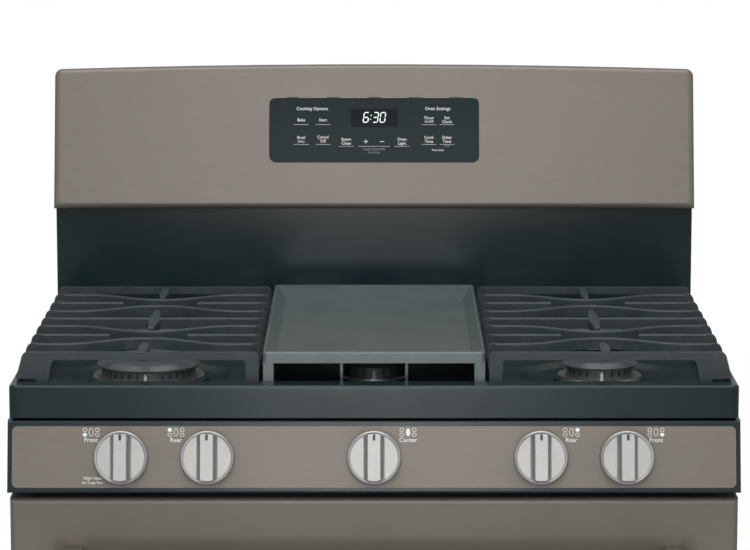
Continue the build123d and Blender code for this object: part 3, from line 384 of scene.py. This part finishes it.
def ring(bm, x, y, half_x, half_y, line, low, high):
    """An open ring of the given line width between two heights."""
    steps = 20
    outer = round_outline(x, y, half_x, half_y, steps)
    inner = round_outline(x, y, half_x - line, half_y - line, steps)
    loops = ((outer, low), (outer, high), (inner, high), (inner, low))
    rows = [[bm.verts.new((px, py, z)) for px, py in row] for row, z in loops]
    for a in range(4):
        for i in range(steps):
            j = (i + 1) % steps
            first, second = rows[a], rows[(a + 1) % 4]
            bm.faces.new((first[i], first[j], second[j], second[i]))


INK = 0.08 * MM  # printed film
LIFT = 0.02 * MM  # keeps a print clear of its face


def words(bm, text, x, y, size, slant=0.0):
    """Add printed words centred on x, y, in a plain face."""
    curve = bpy.data.curves.new("words", "FONT")
    curve.body = text
    curve.size = size
    curve.shear = slant
    curve.align_x = "CENTER"
    curve.align_y = "CENTER"
    curve.extrude = INK / 2
    curve.offset = size * 0.006  # a little bolder
    curve.resolution_u = 3
    holder = bpy.data.objects.new("words", curve)
    bpy.context.scene.collection.objects.link(holder)
    bpy.context.view_layer.update()
    mesh = bpy.data.meshes.new_from_object(holder.evaluated_get(bpy.context.evaluated_depsgraph_get()))
    mesh.transform(Matrix.Translation((x, y, LIFT + INK / 2)))
    bm.from_mesh(mesh)
    bpy.data.meshes.remove(mesh)
    bpy.data.objects.remove(holder)
    bpy.data.curves.remove(curve)


# ---- control glass: keys, headings and clock ----
glass = face_plane("control_glass", FASCIA_LEAN, 1.5 * MM)
KEY_TEXT = 4.9 * MM
SMALL_TEXT = KEY_TEXT * 0.72
NOTE_TEXT = KEY_TEXT * 0.66
HEAD_TEXT = 5.3 * MM
KEY_LINE = 17.5 * MM
LINE_TALL = 0.3 * MM

# words, x, y, size: positions on the glass in millimetres from its centre
white_words = (
    ("Cooking Options", -73.3, 25.3, HEAD_TEXT), ("Oven Settings", 75.3, 25.3, HEAD_TEXT),
    ("Bake", -86.2, 11.8, KEY_TEXT), ("Start", -60.6, 11.8, KEY_TEXT),
    ("Broil", -86.3, -9.2, KEY_TEXT), ("Cancel", -60.6, -8.6, KEY_TEXT), ("Off", -60.6, -13.6, KEY_TEXT),
    ("Steam", -33.0, -11.2, KEY_TEXT), ("Clean", -33.0, -16.0, KEY_TEXT),
    ("Oven", 33.0, -11.2, KEY_TEXT), ("Light", 33.0, -16.0, KEY_TEXT),
    ("Timer", 64.8, 14.2, KEY_TEXT), ("On/Off", 64.8, 9.9, SMALL_TEXT),
    ("Set", 86.1, 14.4, KEY_TEXT), ("Clock", 86.1, 9.6, KEY_TEXT),
    ("Cook", 64.8, -9.0, KEY_TEXT), ("Time", 64.8, -13.8, KEY_TEXT),
    ("Delay", 86.1, -9.0, KEY_TEXT), ("Time", 86.1, -13.8, KEY_TEXT),
    ("Hi/Lo", -86.3, -13.8, SMALL_TEXT), ("Press Start", 75.5, -24.0, NOTE_TEXT),
)
grey_words = (
    ("Lock Controls", 0.0, -22.8, KEY_TEXT * 0.9), ("Hold 3 Sec", 0.0, -26.8, NOTE_TEXT),
    ("Hold", 86.1, -18.9, NOTE_TEXT),
)
key_lines = (
    (-86.3, 6.4), (-60.6, 6.4), (-86.3, -17.2), (-60.6, -17.2), (-33.0, -19.5), (33.0, -19.5),
    (64.8, 6.3), (86.1, 6.3), (64.8, -17.2), (86.1, -17.2),
)


def print_on(name, plane, fill, material, body):
    """Fill a bmesh in the plane's own coordinates and lay it on the plane."""
    bm = bmesh.new()
    fill(bm)
    bm.transform(plane)
    return piece(name, to_mesh(bm, name), material, body)


def white_print(bm):
    """Key names, headings, the plus and minus signs, and the lines under the keys."""
    for text, x, y, size in white_words:
        words(bm, text, x * MM, y * MM, size)
    # each bar of the signs: x, width and height; the upright one is higher, so that no faces coincide
    for x, wide, tall in ((-9.9, 5.2, 0.7), (-9.9, 0.7, 5.2), (9.3, 5.2, 0.7)):
        lift = LIFT if wide > tall else LIFT + 0.01 * MM
        slab(bm, bar_outline(x * MM, -13.8 * MM, wide * MM, tall * MM), lift, lift + INK)
    for x, y in key_lines:
        slab(bm, bar_outline(x * MM, y * MM, KEY_LINE, LINE_TALL), LIFT, LIFT + INK)
    slab(bm, bar_outline(-0.1 * MM, -19.5 * MM, 37 * MM, LINE_TALL), LIFT, LIFT + INK)


def grey_print(bm):
    """The fainter hints under the keys."""
    for text, x, y, size in grey_words:
        words(bm, text, x * MM, y * MM, size)


def red_print(bm):
    """The line between the words Cancel and Off."""
    slab(bm, bar_outline(-60.6 * MM, -11.2 * MM, 11 * MM, 0.4 * MM), LIFT, LIFT + INK)


def display_window(bm):
    """The dark window behind the clock."""
    slab(bm, bar_outline(0.2 * MM, 14.3 * MM, 55.7 * MM, 21.7 * MM), LIFT, LIFT + INK / 2)


SEGMENTS = {"6": "acdefg", "3": "abcdg", "0": "abcdef"}
DIGIT_TALL = 11.6 * MM
DIGIT_WIDE = 5.6 * MM
DIGIT_SLANT = 0.14
STROKE = 1.15 * MM


def segment_digit(bm, digit, x, y):
    """One seven-segment digit, leaning to the right, its middle at x, y."""
    half = DIGIT_TALL / 2
    side = DIGIT_WIDE / 2
    tall = half - STROKE * 1.1
    flat = DIGIT_WIDE - STROKE
    places = {
        "a": (0, half, flat, STROKE), "g": (0, 0, flat, STROKE), "d": (0, -half, flat, STROKE),
        "b": (side, half / 2, STROKE, tall),
        "c": (side, -half / 2, STROKE, tall), "f": (-side, half / 2, STROKE, tall),
        "e": (-side, -half / 2, STROKE, tall),
    }
    for key in SEGMENTS[digit]:
        cx, cy, wide, high = places[key]
        outline = [(x + px + DIGIT_SLANT * py, y + py) for px, py in bar_outline(cx, cy, wide, high)]
        slab(bm, outline, LIFT + INK, LIFT + INK * 1.6)


def clock_print(bm):
    """The clock's digits and colon."""
    y = 15.0 * MM
    for digit, x in (("6", -9.6), ("3", 1.9), ("0", 10.2)):
        segment_digit(bm, digit, x * MM, y)
    for dy in (-2.4, 2.4):
        outline = bar_outline((-3.9 + DIGIT_SLANT * dy) * MM, y + dy * MM, STROKE, STROKE)
        slab(bm, outline, LIFT + INK, LIFT + INK * 1.6)


print_on("control_key_print", glass, white_print, printed_white, "chassis")
print_on("control_hint_print", glass, grey_print, printed_grey, "chassis")
print_on("control_cancel_line", glass, red_print, printed_red, "chassis")
print_on("clock_window", glass, display_window, display_face, "chassis")
print_on("clock_digits", glass, clock_print, glow, "chassis")


# ---- knob panel: burner locators and knob inlays ----
insert = face_plane("manifold_panel_insert", PANEL_LEAN, 0.55 * MM)
# knob, icon x in millimetres, which mark is filled, its word
locators = (
    ("left_front", -292.8, 0, "Front"), ("left_rear", -205.0, 1, "Rear"), ("centre", 35.2, 4, "Center"),
    ("right_rear", 204.2, 3, "Rear"), ("right_front", 291.8, 2, "Front"),
)
MARKS = ((-6.4, -2.5), (-6.4, 2.5), (6.4, -2.5), (6.4, 2.5), (0.0, 0.0))
ICON_UP = 25.6 * MM
WORD_UP = 17.4 * MM


def locator_print(bm):
    """Each knob's burner marks and word, and the note below the left front knob."""
    for knob, x, filled, word in locators:
        for i, (dx, dy) in enumerate(MARKS):
            # the middle burner's mark is a tall oval
            half_x, half_y = (2.3 * MM, 4.2 * MM) if i == 4 else (2.3 * MM, 2.0 * MM)
            px, py = (x + dx) * MM, ICON_UP + dy * MM
            if i == filled:
                slab(bm, round_outline(px, py, half_x, half_y), LIFT, LIFT + INK)
            else:
                ring(bm, px, py, half_x, half_y, 0.5 * MM, LIFT, LIFT + INK)
        words(bm, word, x * MM, WORD_UP, 6.4 * MM)
    words(bm, "High Heat", -291 * MM, -22.0 * MM, 4.6 * MM)
    words(bm, "For Large Pans", -291 * MM, -26.6 * MM, 3.6 * MM)


print_on("knob_panel_print", insert, locator_print, printed_white, "chassis")

# the pointer in a knob's face: up from the knob's axis, its size, and its back and front along the axis
POINTER_UP, POINTER_WIDE, POINTER_TALL = 20.4 * MM, 2.5 * MM, 6.2 * MM
POINTER_BACK, POINTER_FRONT = 27.25 * MM, 27.75 * MM
turns = {j["name"]: j for j in frame["joints"] if j["name"].startswith("turn_")}
for knob in KNOBS:
    joint = turns[f"turn_{knob}"]
    out = Vector(joint["axis"])
    up = out.cross(Vector((1, 0, 0)))
    turn = Matrix((Vector((1, 0, 0)), up, out)).transposed().to_4x4()
    bm = bmesh.new()
    slab(bm, bar_outline(0, POINTER_UP, POINTER_WIDE, POINTER_TALL), POINTER_BACK, POINTER_FRONT)
    bm.transform(Matrix.Translation(Vector(joint["pos_m"])) @ turn)
    piece(f"knob_pointer_{knob}", to_mesh(bm, "pointer"), printed_black, f"knob_{knob}")


# ---- Geometry Nodes pieces ----
def repeat_tree(name, build):
    """A node tree with named inputs for a repeated piece."""
    tree = bpy.data.node_groups.new(name, "GeometryNodeTree")
    tree.interface.new_socket("Geometry", in_out="INPUT", socket_type="NodeSocketGeometry")
    tree.interface.new_socket("Radius", in_out="INPUT", socket_type="NodeSocketFloat")
    tree.interface.new_socket("Depth", in_out="INPUT", socket_type="NodeSocketFloat")
    tree.interface.new_socket("Finish", in_out="INPUT", socket_type="NodeSocketMaterial")
    tree.interface.new_socket("Geometry", in_out="OUTPUT", socket_type="NodeSocketGeometry")
    source = tree.nodes.new("NodeGroupInput")
    shape = build(tree, source)
    points = add_node(tree, "GeometryNodeMeshToPoints", {"Mesh": source.outputs["Geometry"]})
    placed = {"Points": points.outputs["Points"], "Instance": shape}
    copies = add_node(tree, "GeometryNodeInstanceOnPoints", placed)
    real = add_node(tree, "GeometryNodeRealizeInstances", {"Geometry": copies.outputs["Instances"]})
    coated = {"Geometry": real.outputs["Geometry"], "Material": source.outputs["Finish"]}
    done = add_node(tree, "GeometryNodeSetMaterial", coated)
    target = tree.nodes.new("NodeGroupOutput")
    tree.links.new(done.outputs["Geometry"], target.inputs["Geometry"])
    return tree


def standing_disc(sides, turned=(0.0, 0.0, 0.0)):
    """A short cylinder of the given side count, turned as asked."""
    def build(tree, source):
        shape = add_node(
            tree, "GeometryNodeMeshCylinder",
            {"Vertices": sides, "Radius": source.outputs["Radius"], "Depth": source.outputs["Depth"]},
        )
        turn_inputs = {"Geometry": shape.outputs["Mesh"], "Rotation": turned}
        spun = add_node(tree, "GeometryNodeTransform", turn_inputs)
        return spun.outputs["Geometry"]
    return build


def repeated(name, tree, points, radius, depth, material, body):
    """Copy the tree's shape to every point and keep the result as a plain mesh."""
    seed = bpy.data.meshes.new(name)
    seed.from_pydata([tuple(p) for p in points], [], [])
    holder = bpy.data.objects.new(name, seed)
    bpy.context.scene.collection.objects.link(holder)
    modifier = holder.modifiers.new("repeat", "NODES")
    modifier.node_group = tree
    sockets = {s.name: s.identifier for s in tree.interface.items_tree if s.in_out == "INPUT"}
    modifier[sockets["Radius"]] = radius
    modifier[sockets["Depth"]] = depth
    modifier[sockets["Finish"]] = material
    bpy.context.view_layer.update()
    mesh = bpy.data.meshes.new_from_object(holder.evaluated_get(bpy.context.evaluated_depsgraph_get()))
    bpy.data.objects.remove(holder)
    return piece(name, mesh, material, body)


flat_disc = repeat_tree("flat_disc", standing_disc(16))
upright_disc = repeat_tree("upright_disc", standing_disc(10, (math.pi / 2, 0, 0)))
upright_hex = repeat_tree("upright_hex", standing_disc(6, (math.pi / 2, 0, 0)))

# grate and griddle feet stand on small pads
# iron piece, x of its feet, how far in from its ends they stand
feet = (
    ("grate_left", (-0.3465, -0.127), 4.5 * MM), ("grate_right", (0.3465, 0.127), 4.5 * MM),
    ("griddle", (-0.110, 0.110), 7 * MM),
)
for grate, xs, inset in feet:
    low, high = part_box(grate)
    ends = (low.y + inset, high.y - inset)
    points = [(x, y, low.z + 0.6 * MM) for x in xs for y in ends]
    repeated(f"{grate}_pads", flat_disc, points, 3.6 * MM, 1.1 * MM, pad_rubber, grate)

# a dotted border fades the edge of the door window
low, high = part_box("door_window_outer")
EDGE = 14 * MM  # glass hidden behind the panel
PITCH = 5 * MM
half_x, half_z = (high.x - low.x) / 2 - EDGE, (high.z - low.z) / 2 - EDGE
middle_z = (low.z + high.z) / 2
dot_y = low.y - 0.1 * MM
dots = []
for row in range(3):
    inset = (4 + 5 * row) * MM
    wide, tall = half_x - inset, half_z - inset
    across, up_count = round(2 * wide / PITCH), round(2 * tall / PITCH)
    for s in (-1, 1):
        dots += [(wide * (2 * i / across - 1), dot_y, middle_z + s * tall) for i in range(across + 1)]
        dots += [(s * wide, dot_y, middle_z + tall * (2 * i / up_count - 1)) for i in range(1, up_count)]
repeated(
    "window_dot_border", upright_disc, dots, 1.5 * MM, 0.12 * MM, printed_black, "door",
)

# hexagon screws that hold the rear cover
low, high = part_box("backguard_rear_cover")
HEAD_DEEP = 2.2 * MM
screw_y = high.y - HEAD_DEEP / 2
screws = [(x, screw_y, low.z + 0.016) for x in (-0.34, -0.113, 0.113, 0.34)]
screws += [(x, screw_y, high.z - 0.014) for x in (-0.34, 0.34)]
repeated("rear_cover_screws", upright_hex, screws, 4.2 * MM, HEAD_DEEP, bare_steel, "chassis")


# ---- small shaped pieces ----
def end_clip(side):
    """The curved clip where the riser meets the backguard at each end."""
    low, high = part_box("riser_panel")
    bm = bmesh.new()
    x = side * (high.x - 7 * MM)
    outline = [(-5, -6), (-3.6, -10), (0, -12), (3.6, -10), (5, -6), (5, 0), (-5, 0)]
    slab(bm, [(px * MM, py * MM) for px, py in outline], 0, 1.2 * MM)
    place = Matrix.Translation((x, low.y - 0.05 * MM, high.z)) @ Matrix.Rotation(math.pi / 2, 4, "X")
    bm.transform(place)
    mesh = to_mesh(bm, "clip")
    return piece(f"riser_clip_{'right' if side > 0 else 'left'}", mesh, enamel, "chassis")


for side in (-1, 1):
    end_clip(side)


def pipe_nut(name, x, y, z, across, tall):
    """A hexagon union nut with chamfered corners, its bore along Z."""
    bm = bmesh.new()
    rows = []
    wide, narrow, half = across / 2, across * 0.46, tall / 2
    for radius, height in ((narrow, -half), (wide, MM - half), (wide, half - MM), (narrow, half)):
        corners = round_outline(x, y, radius, radius, 6)
        rows.append([bm.verts.new((px, py, z + height)) for px, py in corners])
    bm.faces.new(rows[0][::-1])
    bm.faces.new(rows[-1])
    for first, second in zip(rows, rows[1:]):
        for i in range(6):
            bm.faces.new((first[i], first[(i + 1) % 6], second[(i + 1) % 6], second[i]))
    return piece(name, to_mesh(bm, name), brass, "chassis")


regulator_low, regulator_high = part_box("pressure_regulator")
pipe_x = (regulator_low.x + regulator_high.x) / 2
PIPE_Y = 0.325
pipe_nut("regulator_outlet_nut", pipe_x, PIPE_Y, regulator_high.z - 6 * MM, 34 * MM, 10 * MM)
pipe_nut("shelf_union_nut", pipe_x, PIPE_Y, 0.342, 26 * MM, 12 * MM)


# ---- floor, light and camera ----
def sees_ground(tree):
    """1 for rays that come from the camera, straight or through glass, and 0 for the rest."""
    path = add_node(tree, "ShaderNodeLightPath").outputs
    kinds = {0: path["Is Camera Ray"], 1: path["Is Transmission Ray"]}
    return add_node(tree, "ShaderNodeMath", kinds, operation="MAXIMUM").outputs[0]


def stage_white(name):
    """A pale floor with a soft shadow near the range, fading to plain white for the camera."""
    made, tree, shader = new_material(name, "#D2D2D2", 0.9)
    place = add_node(tree, "ShaderNodeTexCoord").outputs["Object"]
    away = add_node(tree, "ShaderNodeVectorMath", {0: place}, operation="LENGTH").outputs["Value"]
    reach = {"Value": away, "From Min": 0.7, "From Max": 2.2, "To Min": 0.6}
    fade = add_node(tree, "ShaderNodeMapRange", reach).outputs["Result"]
    share = add_node(tree, "ShaderNodeMath", {0: sees_ground(tree), 1: fade}, operation="MULTIPLY")
    white = add_node(tree, "ShaderNodeEmission", {"Color": (1, 1, 1, 1), "Strength": 1.0})
    both = {0: share.outputs[0], 1: shader.outputs[0], 2: white.outputs[0]}
    mixed = add_node(tree, "ShaderNodeMixShader", both)
    tree.links.new(mixed.outputs[0], tree.nodes["Material Output"].inputs["Surface"])
    return made


FLOOR_HALF = 14.0
floor_mesh = bpy.data.meshes.new("floor")
corners = [(sx * FLOOR_HALF, sy * FLOOR_HALF, -0.0005) for sx, sy in ((-1, -1), (1, -1), (1, 1), (-1, 1))]
floor_mesh.from_pydata(corners, [], [(0, 1, 2, 3)])
floor_mesh.materials.append(stage_white("studio_floor"))
floor = bpy.data.objects.new("floor", floor_mesh)
bpy.context.scene.collection.objects.link(floor)


def softbox(name, place, aim, size, power):
    """A rectangular studio light aimed at a point."""
    lamp = bpy.data.lights.new(name, "AREA")
    lamp.shape = "RECTANGLE"
    lamp.size, lamp.size_y = size
    lamp.energy = power
    made = bpy.data.objects.new(name, lamp)
    made.location = place
    made.rotation_euler = (Vector(aim) - Vector(place)).to_track_quat("-Z", "Y").to_euler()
    made.visible_camera = False
    bpy.context.scene.collection.objects.link(made)
    return made


softbox("front_strip", (0, -3.2, 1.38), (0, 0, 1.25), (0.54, 2.2), 21)
softbox("high_strip", (0, -3.1, 2.6), (0, 0.2, 1.15), (1.0, 0.6), 13)
softbox("overhead", (0, -0.6, 3.4), (0, 0, 0.9), (2.6, 2.0), 56)
softbox("left_fill", (-3.2, -1.8, 1.9), (0, 0, 0.9), (1.6, 1.8), 11)
softbox("right_fill", (3.2, -1.8, 1.9), (0, 0, 0.9), (1.6, 1.8), 11)

world = bpy.data.worlds.new("studio")
bpy.context.scene.world = world
world.use_nodes = True
tree = world.node_tree
ground = tree.nodes["Background"]
ground.inputs["Color"].default_value = (1, 1, 1, 1)
ground.inputs["Strength"].default_value = 0.40
white = add_node(tree, "ShaderNodeBackground", {"Color": (1, 1, 1, 1), "Strength": 1.0})
both = {0: sees_ground(tree), 1: ground.outputs[0], 2: white.outputs[0]}
mixed = add_node(tree, "ShaderNodeMixShader", both)
tree.links.new(mixed.outputs[0], tree.nodes["World Output"].inputs["Surface"])

camera_data = bpy.data.cameras.new("camera")
camera_data.lens = 161.2
camera_data.sensor_width = 36.0
camera_data.clip_end = 60.0
camera = bpy.data.objects.new("camera", camera_data)
camera.location = (0.001, -3.714, 1.577)
camera.rotation_euler = (math.radians(80.98), 0, 0)
bpy.context.scene.collection.objects.link(camera)
bpy.context.scene.camera = camera
bpy.context.scene.view_settings.view_transform = "Standard"
